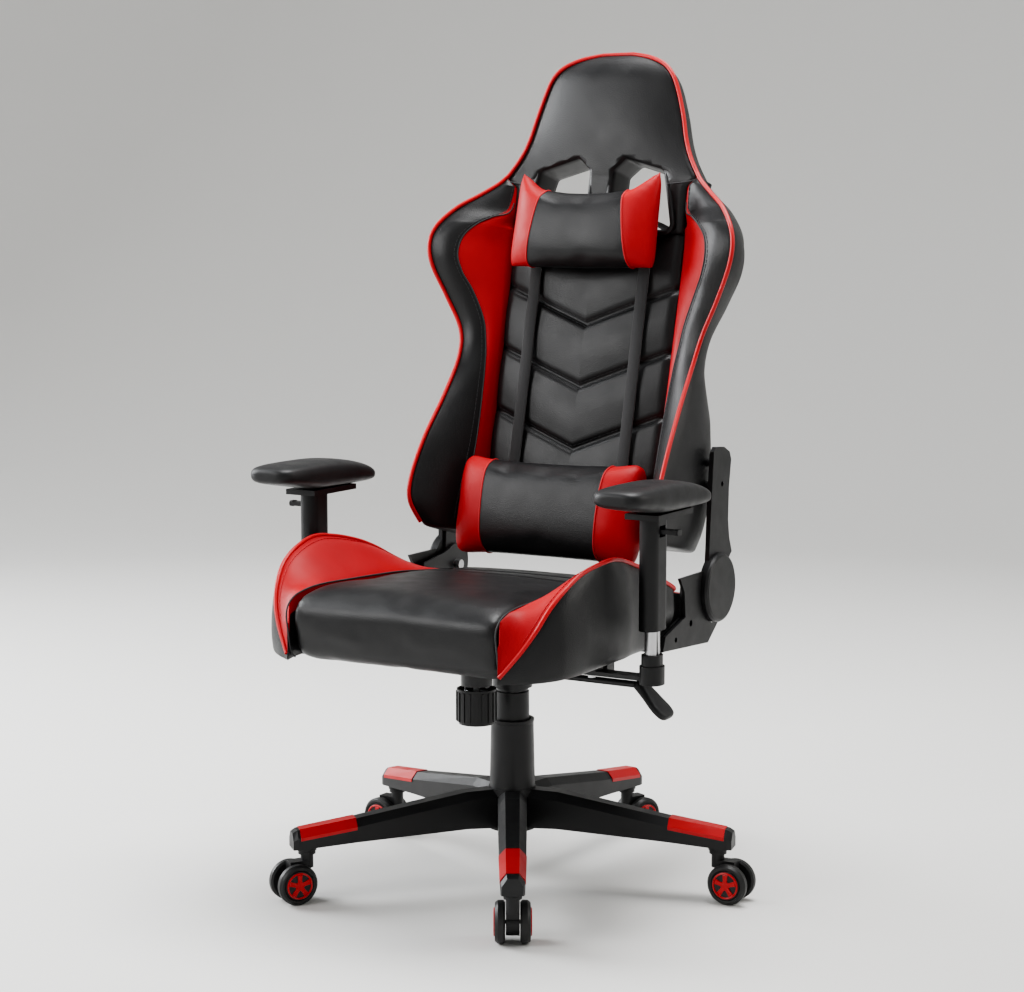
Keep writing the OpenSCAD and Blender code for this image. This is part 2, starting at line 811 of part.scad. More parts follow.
function wing_ring(p) =
    let (
        z = p[2],
        rear = lookup(z, [for (q = wing_rear) [q[1], q[0]]]),
        flare = 11 * min(1, max(0, (110 - z) / 70)),
        inner = panel_half + skin / 2
    )
    [
        [inner, mix(0, -10, max(0, (z - 300) / 100)), z], [inner, back_depth - 4, z],
        [mix(inner, p[0], 0.6), mix(back_depth, rear, 0.45), z],
        [p[0] - 8 + flare, rear, z], [p[0] + flare, mix(rear, p[1], 0.35), z],
        [p[0] + 1 + flare / 2, mix(rear, p[1], 0.8), z], [p[0], p[1], z], [mix(inner, p[0], 0.72), mix(-8, p[1], 0.72), z],
        [mix(inner, p[0], 0.3), mix(-8, p[1], 0.25), z]
    ];

module back_wing() {
    color(leather) on_back() loft([for (p = smooth(back_rim, 2)) wing_ring(p)]);
}

module back_wing_left() { back_wing(); }

module back_wing_right() { mirror([1, 0, 0]) back_wing(); }

function head_ring(p) =
    let (
        t = (p[2] - neck) / (head_top - neck),
        bulge = 17 * sin(180 * min(1, max(0, t))),
        rear = mix(back_depth, 42, t) - 10 * t * t
    )
    [
        [-p[0], p[1], p[2]], [-p[0] + 3, mix(p[1], rear, 0.7), p[2]], [-0.75 * p[0], rear, p[2]],
        [0.75 * p[0], rear, p[2]], [p[0] - 3, mix(p[1], rear, 0.7), p[2]], [p[0], p[1], p[2]],
        [0.7 * p[0], p[1] - 0.6 * bulge, p[2]], [0, p[1] - bulge, p[2]],
        [-0.7 * p[0], p[1] - 0.6 * bulge, p[2]]
    ];

module hole_shape(grow) {
    offset(r = 8 + grow, $fn = 32) polygon(hole);
}

module through_back(y0, y1) {
    translate([0, y1, 0]) rotate([90, 0, 0]) linear_extrude(y1 - y0) children();
}

module back_head() {
    half = panel_half - skin / 2;
    color(leather) on_back() difference() {
        union() {
            loft([for (p = smooth(head_rim, 2)) head_ring(p)]);
            translate([-half, -6, panel_top + skin])
                cube([2 * half, back_depth + 4, neck - panel_top + 3]);
        }
        pair() {
            through_back(-60, -6) hole_shape(9.2);
            through_back(-60, 90) hole_shape(3.2);
        }
    }
}

module harness_bezels() {
    color(black) on_back() pair() difference() {
        union() {
            through_back(-11, -6.2) hole_shape(9);
            through_back(-11, back_depth + 3) hole_shape(3);
            through_back(back_depth + 0.2, back_depth + 3.5) hole_shape(9);
        }
        through_back(-60, 90) hole_shape(0);
    }
}

module harness_straps() {
    over = 340;
    behind = back_depth + 7;
    color("#101012") on_back() pair() translate([strap_x - strap_w / 2, 0, 0]) {
        translate([0, strap_d, -160]) cube([strap_w, strap_t, over + 160]);
        translate([0, strap_d, over]) cube([strap_w, behind - strap_d, strap_t]);
        translate([0, behind, -150]) cube([strap_w, strap_t, over + 150 + strap_t]);
    }
}

module back_frame() {
    bend = 345;
    top = 565;
    top_x = 80;
    reach = norm([tube_x - top_x, top - bend]);
    color(dark_steel) on_back() {
        for (s = [-1, 1]) translate([s * tube_x, frame_d, 0]) {
            translate([0, 0, -130]) cylinder(r = 10, h = bend + 134, $fn = 40);
            translate([0, 0, bend]) rotate([0, -s * atan2(tube_x - top_x, top - bend), 0])
                cylinder(r = 10, h = reach, $fn = 40);
        }
        for (z = [-110, 0, 150, 300]) rod_x(8, -tube_x, tube_x, frame_d, z);
        rod_x(10, -top_x - 8, top_x + 8, frame_d, top);
    }
}

// ---- pillows, lofted across the chair ----

// one end's half widths, depths and heights, mirrored about the last
function both_ends(p) = concat(
    [for (q = p) [-q[0], q[1], q[2]]],
    [for (i = [len(p) - 2:-1:0]) p[i]]
);

function squared(t) = sign(t) * pow(abs(t), 0.8);

function pillow_ring(x, depth, mid, tall, low, high) = [
    for (a = [0:22.5:337.5])
        [x, mid + depth * squared(cos(a)), (low + high) / 2 + tall * squared(sin(a))]
];

module head_pillow() {
    mid = -pillow_gap - 28;
    ends = [[130, 14, 78], [118, 22, 74], [80, 28, 68], [0, 29, 68]];
    color(red) on_back()
        loft([for (p = both_ends(ends)) pillow_ring(p[0], p[1], mid, p[2], 250, 402)]);
}

module lumbar_pillow() {
    mid = -pillow_gap - 39;
    ends = [[162, 22, 62], [154, 30, 74], [130, 36, 81], [0, 38, 82]];
    color(red) on_back()
        loft([for (p = both_ends(ends)) pillow_ring(p[0], p[1], mid, p[2], -203, -40)]);
}

base_star();
arm_inlays();
cover_lower();
gas_outer_tube();
thrust_bearing();
lift_bush();
for (i = casters) caster_fork(i);
for (i = casters) caster_wheels(i);
gas_piston_rod();
gas_cylinder();
cover_top();
valve_pin();
chassis_housing();
tilt_pin();
tilt_spring();
tension_bolt();
tension_knob();
lever_cam();
lever_rod();
lever_paddle();
seat_plate();
seat_frame();
seat_webbing();
seat_cushion();
seat_bolster_left();
seat_bolster_right();
seat_bolts();
arm_bracket_left();
arm_bracket_right();
arm_boots();
hinge_plates();
hinge_covers();
hinge_pins();
recline_lever();
arm_sleeve_left();
arm_sleeve_right();
arm_pad_left();
arm_pad_right();
arm_latch_left();
arm_latch_right();
back_frame();
back_center();
back_wing_left();
back_wing_right();
back_head();
harness_bezels();
harness_straps();
recline_arms();
recline_covers();
head_pillow();
lumbar_pillow();
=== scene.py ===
"""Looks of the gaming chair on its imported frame."""
import json
import math

import bmesh
import bpy
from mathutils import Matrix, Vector


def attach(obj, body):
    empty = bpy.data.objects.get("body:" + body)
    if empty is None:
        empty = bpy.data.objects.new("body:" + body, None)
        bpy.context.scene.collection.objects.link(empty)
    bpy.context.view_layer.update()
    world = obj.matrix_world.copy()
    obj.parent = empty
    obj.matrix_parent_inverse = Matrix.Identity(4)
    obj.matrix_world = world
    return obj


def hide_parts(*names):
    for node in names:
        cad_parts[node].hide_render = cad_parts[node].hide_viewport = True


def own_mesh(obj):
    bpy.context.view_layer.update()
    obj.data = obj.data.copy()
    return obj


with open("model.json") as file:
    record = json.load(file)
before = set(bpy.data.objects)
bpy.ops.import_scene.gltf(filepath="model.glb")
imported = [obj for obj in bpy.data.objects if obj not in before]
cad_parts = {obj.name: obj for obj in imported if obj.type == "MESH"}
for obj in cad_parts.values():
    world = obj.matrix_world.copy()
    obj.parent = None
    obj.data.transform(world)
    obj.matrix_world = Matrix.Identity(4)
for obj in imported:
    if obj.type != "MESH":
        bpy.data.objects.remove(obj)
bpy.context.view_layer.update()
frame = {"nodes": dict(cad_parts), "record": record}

# ---------------------------------------------------------------- curves and frames

LEAN = math.radians(13.2)
BACK_Y, BACK_Z = 196, 659  # origin of the back's own frame, mm
SIDES = ((1, "left"), (-1, "right"))


def back(p):
    """From the back's own frame (across, depth, up the panel; mm) to the row frame in metres."""
    x, d, s = p
    return Vector((
        x,
        BACK_Y + d * math.cos(LEAN) + s * math.sin(LEAN),
        BACK_Z - d * math.sin(LEAN) + s * math.cos(LEAN),
    )) / 1000


def from_back(q):
    """Depth and height up the panel, mm, of a point in the row frame."""
    y, z = 1000 * q.y - BACK_Y, 1000 * q.z - BACK_Z
    return y * math.cos(LEAN) - z * math.sin(LEAN), y * math.sin(LEAN) + z * math.cos(LEAN)


def row(p):
    """From millimetres to metres in the row frame."""
    return Vector(p) / 1000


def mix(a, b, t):
    return a + (b - a) * t


def clamp(t):
    return max(0, min(1, t))


def around(n):
    """n even angles of one turn."""
    return [2 * math.pi * k / n for k in range(n)]


def spline(points, n):
    """Catmull-Rom curve through points, n steps a span."""
    out = []
    for i in range(len(points) - 1):
        a, b = points[max(i - 1, 0)], points[i]
        c, d = points[i + 1], points[min(i + 2, len(points) - 1)]
        for k in range(n):
            t = k / n
            out.append(tuple(
                0.5 * (2 * q + t * (r - p) + t * t * (2 * p - 5 * q + 4 * r - s)
                       + t ** 3 * (3 * q - p - 3 * r + s))
                for p, q, r, s in zip(a, b, c, d)))
    return out + [tuple(points[-1])]


def lookup(table, key, value):
    """Linear table: list of tuples sorted by table[key]."""
    if value <= table[0][key]:
        return table[0]
    for a, b in zip(table, table[1:]):
        if value <= b[key]:
            t = (value - a[key]) / (b[key] - a[key])
            return tuple(mix(p, q, t) for p, q in zip(a, b))
    return table[-1]


# ---------------------------------------------------------------- materials


class Nodes:
    """Small helper to write node trees."""

    def __init__(self, name):
        self.mat = bpy.data.materials.new(name)
        self.mat.use_nodes = True
        self.tree = self.mat.node_tree
        self.bsdf = self.tree.nodes["Principled BSDF"]
        self.coord = self.add("ShaderNodeTexCoord").outputs["Object"]

    def add(self, kind, **values):
        node = self.tree.nodes.new(kind)
        for key, value in values.items():
            if hasattr(node, key):
                setattr(node, key, value)
            else:
                node.inputs[key.replace("_", " ")].default_value = value
        return node

    def link(self, a, b):
        self.tree.links.new(a, b)

    def noise(self, scale, detail=3.0, stretch=None):
        source = self.coord
        if stretch:
            mapping = self.add("ShaderNodeMapping")
            mapping.inputs["Scale"].default_value = stretch
            self.link(source, mapping.inputs["Vector"])
            source = mapping.outputs["Vector"]
        node = self.add("ShaderNodeTexNoise", Scale=scale, Detail=detail)
        self.link(source, node.inputs["Vector"])
        return node.outputs["Fac"]

    def voronoi(self, scale):
        node = self.add("ShaderNodeTexVoronoi", Scale=scale)
        self.link(self.coord, node.inputs["Vector"])
        return node.outputs["Distance"]

    def ramp(self, fac, low, high, start=0.3, stop=0.7):
        node = self.add("ShaderNodeValToRGB")
        ends = node.color_ramp.elements
        ends[0].position, ends[0].color = start, low
        ends[1].position, ends[1].color = stop, high
        self.link(fac, node.inputs["Fac"])
        return node.outputs["Color"]

    def grey(self, fac, low, high, start=0.3, stop=0.7):
        return self.ramp(fac, (low,) * 3 + (1,), (high,) * 3 + (1,), start, stop)

    def bump(self, height, strength, distance, under=None):
        node = self.add("ShaderNodeBump")
        node.inputs["Strength"].default_value = strength
        node.inputs["Distance"].default_value = distance
        self.link(height, node.inputs["Height"])
        if under:
            self.link(under, node.inputs["Normal"])
        return node.outputs["Normal"]


def tone(color, k):
    return tuple(min(1, c * k) for c in color) + (1,)


def leather(name, color, rough=(0.36, 0.5), grain=0.28, spread=0.12, gloss=0.36):
    n = Nodes(name)
    n.link(n.ramp(n.noise(9, 4), tone(color, 1 - spread), tone(color, 1 + spread)),
           n.bsdf.inputs["Base Color"])
    n.link(n.grey(n.noise(26, 5), *rough), n.bsdf.inputs["Roughness"])
    fine = n.bump(n.voronoi(620), grain, 0.0006)
    n.link(n.bump(n.noise(60, 5), 0.08, 0.0012, fine), n.bsdf.inputs["Normal"])
    n.bsdf.inputs["Specular IOR Level"].default_value = gloss
    return n.mat


def plastic(name, color, rough=(0.38, 0.48), grain=0.2, scale=900, gloss=0.35):
    n = Nodes(name)
    n.bsdf.inputs["Specular IOR Level"].default_value = gloss
    n.link(n.ramp(n.noise(14, 3), tone(color, 0.9), tone(color, 1.12)), n.bsdf.inputs["Base Color"])
    n.link(n.grey(n.noise(40, 4), *rough), n.bsdf.inputs["Roughness"])
    n.link(n.bump(n.noise(scale, 2), grain, 0.0003), n.bsdf.inputs["Normal"])
    return n.mat


def metal(name, color, rough=(0.25, 0.38), stretch=(60, 60, 1), grain=0.15):
    n = Nodes(name)
    n.bsdf.inputs["Metallic"].default_value = 1
    n.link(n.ramp(n.noise(20, 3), tone(color, 0.9), tone(color, 1.05)), n.bsdf.inputs["Base Color"])
    n.link(n.grey(n.noise(30, 5, stretch), *rough), n.bsdf.inputs["Roughness"])
    n.link(n.bump(n.noise(30, 5, stretch), grain, 0.0002), n.bsdf.inputs["Normal"])
    return n.mat


def webbing(name, color):
    n = Nodes(name)
    wave = n.add("ShaderNodeTexWave", Scale=260.0, Distortion=0.6)
    wave.bands_direction = "DIAGONAL"
    n.link(n.coord, wave.inputs["Vector"])
    n.link(n.ramp(wave.outputs["Fac"], tone(color, 0.6), tone(color, 1.5)),
           n.bsdf.inputs["Base Color"])
    n.link(n.bump(wave.outputs["Fac"], 0.5, 0.0006), n.bsdf.inputs["Normal"])
    n.bsdf.inputs["Roughness"].default_value = 0.8
    n.bsdf.inputs["Sheen Weight"].default_value = 0.3
    return n.mat


BLACK = leather("leather_black", (0.0065, 0.0065, 0.007), rough=(0.34, 0.46))
RED = leather("leather_red", (0.34, 0.004, 0.007), rough=(0.46, 0.58), grain=0.22, spread=0.08,
              gloss=0.25)
PIPE = leather("piping_red", (0.42, 0.006, 0.009), rough=(0.35, 0.45), grain=0.1, spread=0.05)
THREAD = leather("thread_black", (0.03, 0.03, 0.032), rough=(0.6, 0.7), grain=0.1)
THREAD_RED = leather("thread_red", (0.4, 0.012, 0.015), rough=(0.6, 0.7), grain=0.1)
NYLON = plastic("nylon_black", (0.007, 0.007, 0.0075), rough=(0.36, 0.46))
SOFT = plastic("pad_black", (0.008, 0.008, 0.0085), rough=(0.42, 0.55), grain=0.3, scale=1400)
WHEEL = plastic("wheel_black", (0.014, 0.014, 0.014), rough=(0.35, 0.5))
RED_PLASTIC = plastic("plastic_red", (0.38, 0.006, 0.008), rough=(0.3, 0.42))
WHITE = plastic("plastic_white", (0.75, 0.75, 0.72))
STEEL = metal("steel_brushed", (0.6, 0.6, 0.61))
DARK = plastic("steel_painted", (0.018, 0.018, 0.019), rough=(0.3, 0.42))
WEB = webbing("webbing_black", (0.006, 0.006, 0.0065))

by_slot = {
    "black_plastic": NYLON, "red_plastic": RED_PLASTIC, "white_plastic": WHITE,
    "dark_steel": DARK, "bright_steel": STEEL, "strap_fabric": WEB, "pad_plastic": SOFT,
    "black_leather": BLACK, "red_leather": RED, "wheel_nylon": WHEEL,
}
slot_of = {s["node"]: s["material_slot"] for s in frame["record"]["subparts"]}
for name, node in frame["nodes"].items():
    node.data.materials.clear()
    node.data.materials.append(by_slot[slot_of[name]])

# ---------------------------------------------------------------- mesh building


def build(name, verts, faces, mats, zones=None, smooth=True):
    mesh = bpy.data.meshes.new(name)
    mesh.from_pydata([tuple(v) for v in verts], [], faces)
    for m in mats:
        mesh.materials.append(m)
    if zones:
        mesh.polygons.foreach_set("material_index", zones)
    mesh.polygons.foreach_set("use_smooth", [smooth] * len(mesh.polygons))
    obj = bpy.data.objects.new(name, mesh)
    bpy.context.scene.collection.objects.link(obj)
    work = bmesh.new()
    work.from_mesh(mesh)
    bmesh.ops.recalc_face_normals(work, faces=work.faces)
    work.to_mesh(mesh)
    work.free()
    return obj


def bands(n, rows, first=0, wrap=None):
    """Faces between rings of n points; wrap is the count of rings where the last meets the first."""
    m = wrap or rows + 1
    return [(first + j * n + i, first + j * n + (i + 1) % n,
             first + (j + 1) % m * n + (i + 1) % n, first + (j + 1) % m * n + i)
            for j in range(rows) for i in range(n)]


def loft(name, rings, place, mats, zone=None, smooth=True):
    """Closed skin through rings of equal length; zone(j, i) is the material of a face."""
    n = len(rings[0])
    verts = [place(p) for r in rings for p in r]
    faces = bands(n, len(rings) - 1)
    zones = [zone(j, i) if zone else 0 for j in range(len(rings) - 1) for i in range(n)]
    for j in (0, len(rings) - 1):
        faces.append(tuple(j * n + i for i in range(n)))
        zones.append(zone(min(j, len(rings) - 2), n - 1) if zone else 0)
    return build(name, verts, faces, mats, zones, smooth)


def subdivide(obj, levels=1):
    mod = obj.modifiers.new("subdivision", "SUBSURF")
    mod.levels = mod.render_levels = levels
    apply(obj)


def apply(obj):
    bpy.context.view_layer.update()
    depsgraph = bpy.context.evaluated_depsgraph_get()
    mesh = bpy.data.meshes.new_from_object(obj.evaluated_get(depsgraph))
    obj.modifiers.clear()
    obj.data = mesh


def tube(name, paths, radius, mat, body, closed=False):
    """Round cord along one or more paths of points in the row frame."""
    curve = bpy.data.curves.new(name, "CURVE")
    curve.dimensions = "3D"
    curve.bevel_depth = radius
    curve.bevel_resolution = 3
    curve.use_fill_caps = True
    for path in paths:
        line = curve.splines.new("POLY")
        line.points.add(len(path) - 1)
        for p, q in zip(line.points, path):
            p.co = (*q, 1)
        line.use_cyclic_u = closed
    curve.materials.append(mat)
    obj = bpy.data.objects.new(name, curve)
    bpy.context.scene.collection.objects.link(obj)
    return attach(obj, body)


def stitches(name, path, mat, body, length=0.0052, gap=0.0022, radius=0.00055):
    """Sewn dashes along a path of points in the row frame."""
    dashes, dash, travelled, on = [], [path[0]], 0.0, True
    for a, b in zip(path, path[1:]):
        step = (b - a).length
        done = 0.0
        while step - done > 1e-9:
            room = (length if on else gap) - travelled
            move = min(room, step - done)
            done += move
            travelled += move
            point = a.lerp(b, done / step)
            if travelled >= (length if on else gap) - 1e-9:
                if on:
                    dashes.append(dash + [point])
                dash, on, travelled = [point], not on, 0.0
            elif on:
                dash.append(point)
    return tube(name, dashes, radius, mat, body)


def relax(obj, chosen, rounds):
    """Evens out the chosen points with their neighbours."""
    work = bmesh.new()
    work.from_mesh(obj.data)
    points = [v for v in work.verts if chosen(v.co)]
    for _ in range(rounds):
        bmesh.ops.smooth_vert(work, verts=points, factor=0.5,
                              use_axis_x=True, use_axis_y=True, use_axis_z=True)
    work.to_mesh(obj.data)
    work.free()


CLOTH_FRAMES = 20
CLOTH = {"use_pressure": True, "quality": 6, "tension_stiffness": 14,
         "compression_stiffness": 14, "bending_stiffness": 0.6}


def puff(obj, cap, pressure=4.0, voxel=0.006):
    """Inflates a closed form as cloth, no point moving further than cap."""
    remesh = obj.modifiers.new("remesh", "REMESH")
    remesh.mode = "VOXEL"
    remesh.voxel_size = voxel
    apply(obj)
    start = [v.co.copy() for v in obj.data.vertices]
    cloth = obj.modifiers.new("cloth", "CLOTH").settings
    for key, value in CLOTH.items():
        setattr(cloth, key, value)
    cloth.uniform_pressure_force = pressure
    cloth.effector_weights.gravity = 0
    obj.modifiers["cloth"].point_cache.frame_end = CLOTH_FRAMES
    for f in range(1, CLOTH_FRAMES + 1):
        bpy.context.scene.frame_set(f)
    apply(obj)
    bpy.context.scene.frame_set(1)
    for v, s in zip(obj.data.vertices, start):
        move = v.co - s
        if move.length > cap:
            v.co = s + move * (cap / move.length)
    relax(obj, lambda v: True, 5)
    subdivide(obj, 1)
    obj.data.polygons.foreach_set("use_smooth", [True] * len(obj.data.polygons))
    return obj


def split(obj, mats, planes, inside):
    """Cuts the faces on planes, then gives each face a material by its centre."""
    work = bmesh.new()
    work.from_mesh(obj.data)
    for point, normal in planes:
        bmesh.ops.bisect_plane(work, geom=work.verts[:] + work.edges[:] + work.faces[:],
                               plane_co=point, plane_no=normal)
    for f in work.faces:
        f.material_index = inside(f.calc_center_median())
        f.smooth = True
    obj.data.materials.clear()
    for m in mats:
        obj.data.materials.append(m)
    work.to_mesh(obj.data)
    work.free()


def seam_loop(obj, point, normal):
    """The closed outline of obj on a plane, as an ordered list of points."""
    work = bmesh.new()
    work.from_mesh(obj.data)
    cut = bmesh.ops.bisect_plane(work, geom=work.verts[:] + work.edges[:] + work.faces[:],
                                 plane_co=point, plane_no=normal)["geom_cut"]
    points = [e.co.copy() for e in cut if isinstance(e, bmesh.types.BMVert)]
    work.free()
    middle = sum(points, Vector()) / len(points)
    axis = Vector(normal).normalized()
    u = axis.orthogonal().normalized()
    v = axis.cross(u)
    points.sort(key=lambda p: math.atan2((p - middle).dot(v), (p - middle).dot(u)))
    return points, middle


# ---------------------------------------------------------------- the back

# across, depth and height: the piped rim, the red panel's outer edge and the head's rim
RIM = [(200, -100, -158), (209, -124, -128), (213, -122, -90), (211, -100, -25), (206, -66, 45),
       (205, -36, 112), (212, -29, 160), (236, -43, 210), (258, -62, 256), (264, -69, 290),
       (256, -66, 320), (232, -50, 353), (204, -32, 377), (180, -18, 398), (168, -13, 411)]
EDGE = [(161, -48, -160), (161, -42, -110), (160, -32, -50), (160, -27, -3), (162, -23, 53),
        (166, -19, 114), (170, -18, 144), (175, -20, 173), (185, -27, 201), (197, -37, 227),
        (209, -50, 249), (216, -59, 276), (211, -57, 305), (194, -48, 327), (174, -32, 343),
        (154, -12, 358), (151, -8, 411)]
# depth of the rear face and height
REAR = [(50, -158), (50, -90), (46, 0), (36, 60), (22, 125), (12, 207), (2, 256), (-10, 300),
        (4, 345), (24, 411)]
HEAD = [(170, -12, 408), (150, -8, 441), (138, -6, 471), (128, -6, 510), (116, -8, 548),
        (105, -10, 572), (88, -8, 590), (60, -4, 603), (26, 2, 611)]
DEPTH = 48  # rear face of the back
WING_INNER = 150.2
WING_STEPS = 8
RIM_FINE = spline(RIM, 8)
EDGE_FINE = spline(EDGE, 8)
HEAD_FINE = spline(HEAD, 8)


def wing_black(e, p, t):
    """Point of the black strip at share t between the seam e and the rim p."""
    bulge = 5 * math.sin(math.pi * t) * min(1, (p[0] - e[0]) / 30)
    return mix(e[0], p[0], t) - 0.4 * bulge, mix(e[1], p[1], t) - bulge


def wing_ring(p):
    s = p[2]
    e = lookup(EDGE_FINE, 2, s)
    rear = lookup(REAR, 1, s)[0]
    top = clamp((s - 395) / 13)
    inner = mix(WING_INNER, 166, top)
    start = (inner, mix(mix(-1, -9, clamp((s - 300) / 100)), p[1] + 2.5, top))
    e = (max(e[0], inner + 1), mix(e[1], p[1] + 1, top), e[2])
    red, black = [], []
    for k in range(WING_STEPS + 1):
        t = k / WING_STEPS
        bulge = 4.5 * math.sin(math.pi * t) * min(1, (e[0] - inner) / 20)
        red.append((mix(start[0], e[0], t), mix(start[1], e[1], t) - bulge))
    for k in range(1, WING_STEPS + 1):
        black.append(wing_black(e, p, k / WING_STEPS))
    flare = 11 * clamp((110 - s) / 70)
    side = spline([(p[0], p[1]), (p[0] + 2 + flare / 2, mix(rear, p[1], 0.78)),
                   (p[0] + flare, mix(rear, p[1], 0.35)), (p[0] - 8 + flare, rear),
                   (mix(inner, p[0], 0.6), mix(DEPTH, rear, 0.45)), (inner, DEPTH - 4)], 4)[1:]
    return [(x, d, s) for x, d in red + black + side]


def shrink(ring, k, ds):
    n = len(ring)
    mx, md = sum(p[0] for p in ring) / n, sum(p[1] for p in ring) / n
    return [(mix(mx, p[0], k), mix(md, p[1], k), p[2] + ds) for p in ring]


def wing(name, side):
    rings = [wing_ring(p) for p in RIM_FINE]
    rings = [shrink(rings[0], 0.8, -7), shrink(rings[0], 0.94, -4)] + rings
    place = lambda p: back((side * p[0], p[1], p[2]))
    obj = loft(name, rings, place, [BLACK, RED], lambda j, i: 1 if i < WING_STEPS else 0)
    subdivide(obj, 1)

    def creased(q):
        d, s = from_back(q)
        inside = WING_INNER + 0.4 < 1000 * abs(q.x) < lookup(RIM_FINE, 2, s)[0] - 5
        return 330 < s < 396 and d < 5 and inside

    relax(obj, creased, 40)
    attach(obj, "back")
    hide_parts("back_wing_left" if side > 0 else "back_wing_right")
    seam = [back((side * (e[0] + 0.3), e[1] - 0.4, e[2])) for e in EDGE_FINE[:-6]]
    tube(name + "_seam", [seam], 0.0011, THREAD, "back")
    line = []
    for p in RIM_FINE[4:-8]:
        e = lookup(EDGE_FINE, 2, p[2])
        x, d = wing_black(e, p, min(0.25, 6 / max(8, p[0] - e[0])))
        line.append(back((side * x, d - 0.2, p[2])))
    stitches(name + "_stitches", line, THREAD, "back")


wing("wing_left", 1)
wing("wing_right", -1)

rim = [(p[0], p[1], p[2]) for p in RIM_FINE[:-4]] + HEAD_FINE[2:]
rim_left = [back((p[0] + 0.8, p[1] - 1.2, p[2])) for p in rim]
rim_right = [back((-p[0] - 0.8, p[1] - 1.2, p[2])) for p in reversed(rim)]
tube("back_piping", [rim_left + rim_right], 0.0033, PIPE, "back")


PANEL_HALF = 149.8
PANEL_LOW, PANEL_TOP = -150, 322.3


def head_surface(u, s):
    """Front of the head at share u of its half width."""
    if s >= 408:
        p = lookup(HEAD_FINE, 2, s)
        half, edge = p[0], p[1]
        bulge = 17 * math.sin(math.pi * clamp((s - 406) / 206)) ** 0.8
    else:
        half = mix(PANEL_HALF, 169, clamp((s - 396) / 12))
        edge, bulge = mix(-4, -12, max(0, (s - 322) / 86)), 2
    return half * u, edge - bulge * (1 - abs(u) ** 2.2)


def head_ring(s):
    t = max(0, (s - 406) / 206)
    rear = mix(DEPTH, 42, t) - 10 * t * t
    front = [(*head_surface(-1 + k / 12, s), s) for k in range(25)]
    half, edge = front[-1][0], front[-1][1]
    side = spline([(half, edge), (half - 1, mix(edge, rear, 0.4)), (half - 5, mix(edge, rear, 0.75)),
                   (0.8 * half, rear)], 4)[1:]
    right = [(x, d, s) for x, d in side]
    return front + right + [(mix(0.8, -0.8, k / 6) * half, rear, s) for k in range(1, 6)] + [
        (-x, d, s) for x, d, _ in reversed(right)]


heights = [322.5, 330, 345, 360, 375, 388, 396, 400, 404, 408, 414] + [
    422 + 8 * k for k in range(22)] + [594, 599, 603, 607, 610]
head = loft("headrest", [head_ring(s) for s in heights], back, [BLACK])
HOLE = [(30, 336), (119, 336), (100, 414), (44, 431), (30, 418)]


def rounded(poly, r, n=7):
    """Convex outline grown by r with round corners."""
    out, m = [], len(poly)
    for i in range(m):
        a, b, c = Vector(poly[i - 1]), Vector(poly[i]), Vector(poly[(i + 1) % m])
        u, v = b - a, c - b
        a0, a1 = math.atan2(-u.x, u.y), math.atan2(-v.x, v.y)
        if a1 < a0:
            a1 += 2 * math.pi
        for k in range(n):
            g = mix(a0, a1, k / (n - 1))
            out.append((b.x + r * math.cos(g), b.y + r * math.sin(g)))
    return out


def cut(obj, tool):
    mod = obj.modifiers.new("cut", "BOOLEAN")
    mod.operation = "DIFFERENCE"
    mod.object = tool
    mod.solver = "EXACT"
    apply(obj)
    bpy.data.objects.remove(tool)


for side in (1, -1):
    outline = rounded(HOLE, 11.2)
    cut(head, loft("hole_tool", [[(x, d, s) for x, s in outline] for d in (-60, 90)],
                   lambda p, side=side: back((side * p[0], p[1], p[2])), [BLACK]))
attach(head, "back")
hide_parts("back_head")

for side, which in SIDES:
    path = []
    for k in range(13):
        x = mix(167, 118, k / 12)
        s = 405 - 6 * math.sin(math.pi * k / 24)
        half = head_surface(1, s)[0]
        path.append(back((side * min(x, half), head_surface(min(1, x / half), s)[1] - 0.4, s)))
    tube(f"neck_seam_{which}", [path], 0.0012, THREAD, "back")

# bezels of the harness holes: a moulded ring front and back with a liner between
for side, which in SIDES:
    profile = [(0, -9.5), (2, -12.5), (6, -13.5), (9.5, -12), (11, -8), (3.2, -5), (3.2, DEPTH - 3),
               (10, DEPTH), (9, DEPTH + 3), (2, DEPTH + 3), (0, DEPTH)]
    rings = [[(x, d, s) for x, s in rounded(HOLE, 8 + g)] for g, d in profile]
    n = len(rings[0])
    verts = [back((side * p[0], p[1], p[2])) for r in rings for p in r]
    m = len(rings)
    bezel = build("bezel_" + which, verts, bands(n, m, wrap=m), [NYLON])
    subdivide(bezel, 1)
    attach(bezel, "back")
    if which == "left":
        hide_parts("harness_bezels")

# quilted middle of the back: tips of the sewn chevrons, and how steeply their arms rise
TIPS = [-119, -20, 79, 178, 277]
RISE = 0.4


def quilt(x, s):
    ax = abs(x)
    base = -7.5 * (1 - (ax / 150) ** 2) * min(1, (s + 150) / 40)
    best = 1e9
    for tip in TIPS:
        best = min(best, abs(s - tip - RISE * ax) / math.hypot(1, RISE))
    groove = 5.5 * math.exp(-(best / 5.5) ** 2)
    pillow = 3.0 * (1 - math.exp(-(best / 26) ** 2))
    edge = 5 * math.exp(-((150 - ax) / 7) ** 2)
    return base + groove - pillow + edge - 1


NX, NS = 150, 236


def panel_point(i, j):
    return mix(-PANEL_HALF, PANEL_HALF, i / NX), mix(PANEL_LOW, PANEL_TOP, j / NS)


